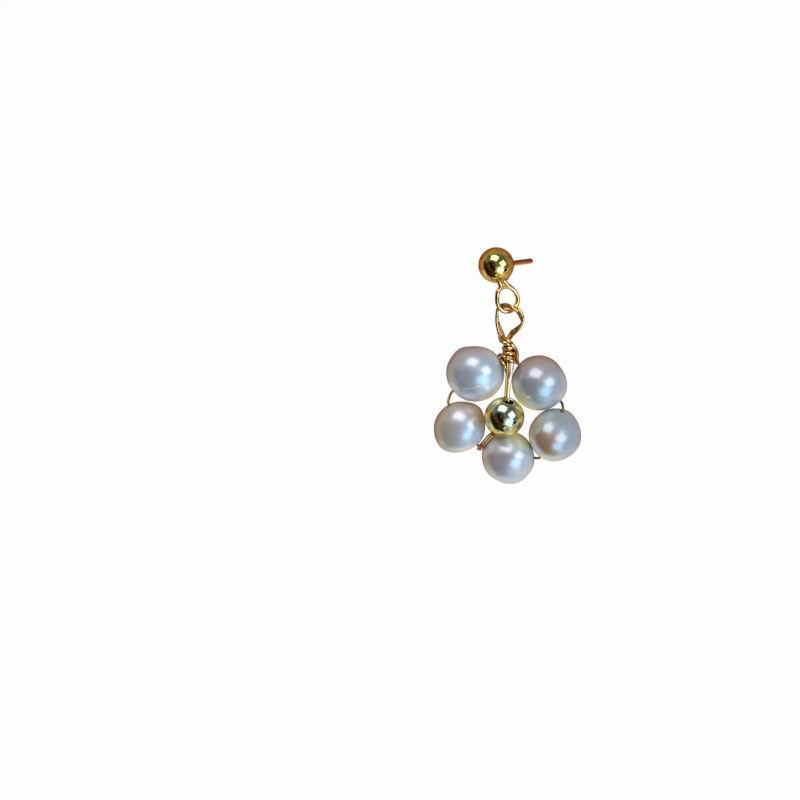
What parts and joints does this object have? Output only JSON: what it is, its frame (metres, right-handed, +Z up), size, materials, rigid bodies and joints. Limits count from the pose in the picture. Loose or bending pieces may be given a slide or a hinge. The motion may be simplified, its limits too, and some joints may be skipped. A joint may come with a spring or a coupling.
{
  "type": "pearl flower drop earring with a ball stud",
  "caption": "Drop earring: a ball stud with a small soldered ring, a hand-wrapped wire eyelet and a flower of wired near-round pearls round a polished bead.",
  "frame": {"origin": "where the post leaves the back of the ball, on the post's axis: the point that sits on the front of the ear lobe", "axes": "+Z up as the earring hangs, +Y along the post into the ear, so the ball's front is -Y; the flower's front faces -Y turned 20 degrees towards +X"},
  "size_m": [0.0163, 0.015, 0.0269],
  "materials": {
    "stud_gold": "mirror-polished gold colour, warm",
    "wire_gold": "drawn wire, polished gold colour",
    "bead_gold": "mirror-polished gold colour, pale",
    "pearl": "nacre: soft grey-lavender lustre under a clear shine"
  },
  "bodies": {
    "stud": {"ear_stud": "stud_gold"},
    "drop": {"flower_wire": "wire_gold", "centre_wire": "wire_gold", "gold_bead": "bead_gold", "pearl_top_left": "pearl", "pearl_top_right": "pearl", "pearl_lower_left": "pearl", "pearl_lower_right": "pearl", "pearl_bottom": "pearl"}
  },
  "joints": [
    {"name": "drop_swing", "type": "hinge", "parent": "stud", "child": "drop", "pos_m": [0.00088, -0.00103, -0.0053], "axis": [0.6691, 0.7431, 0], "range_deg": [-40, 40]}
  ]
}
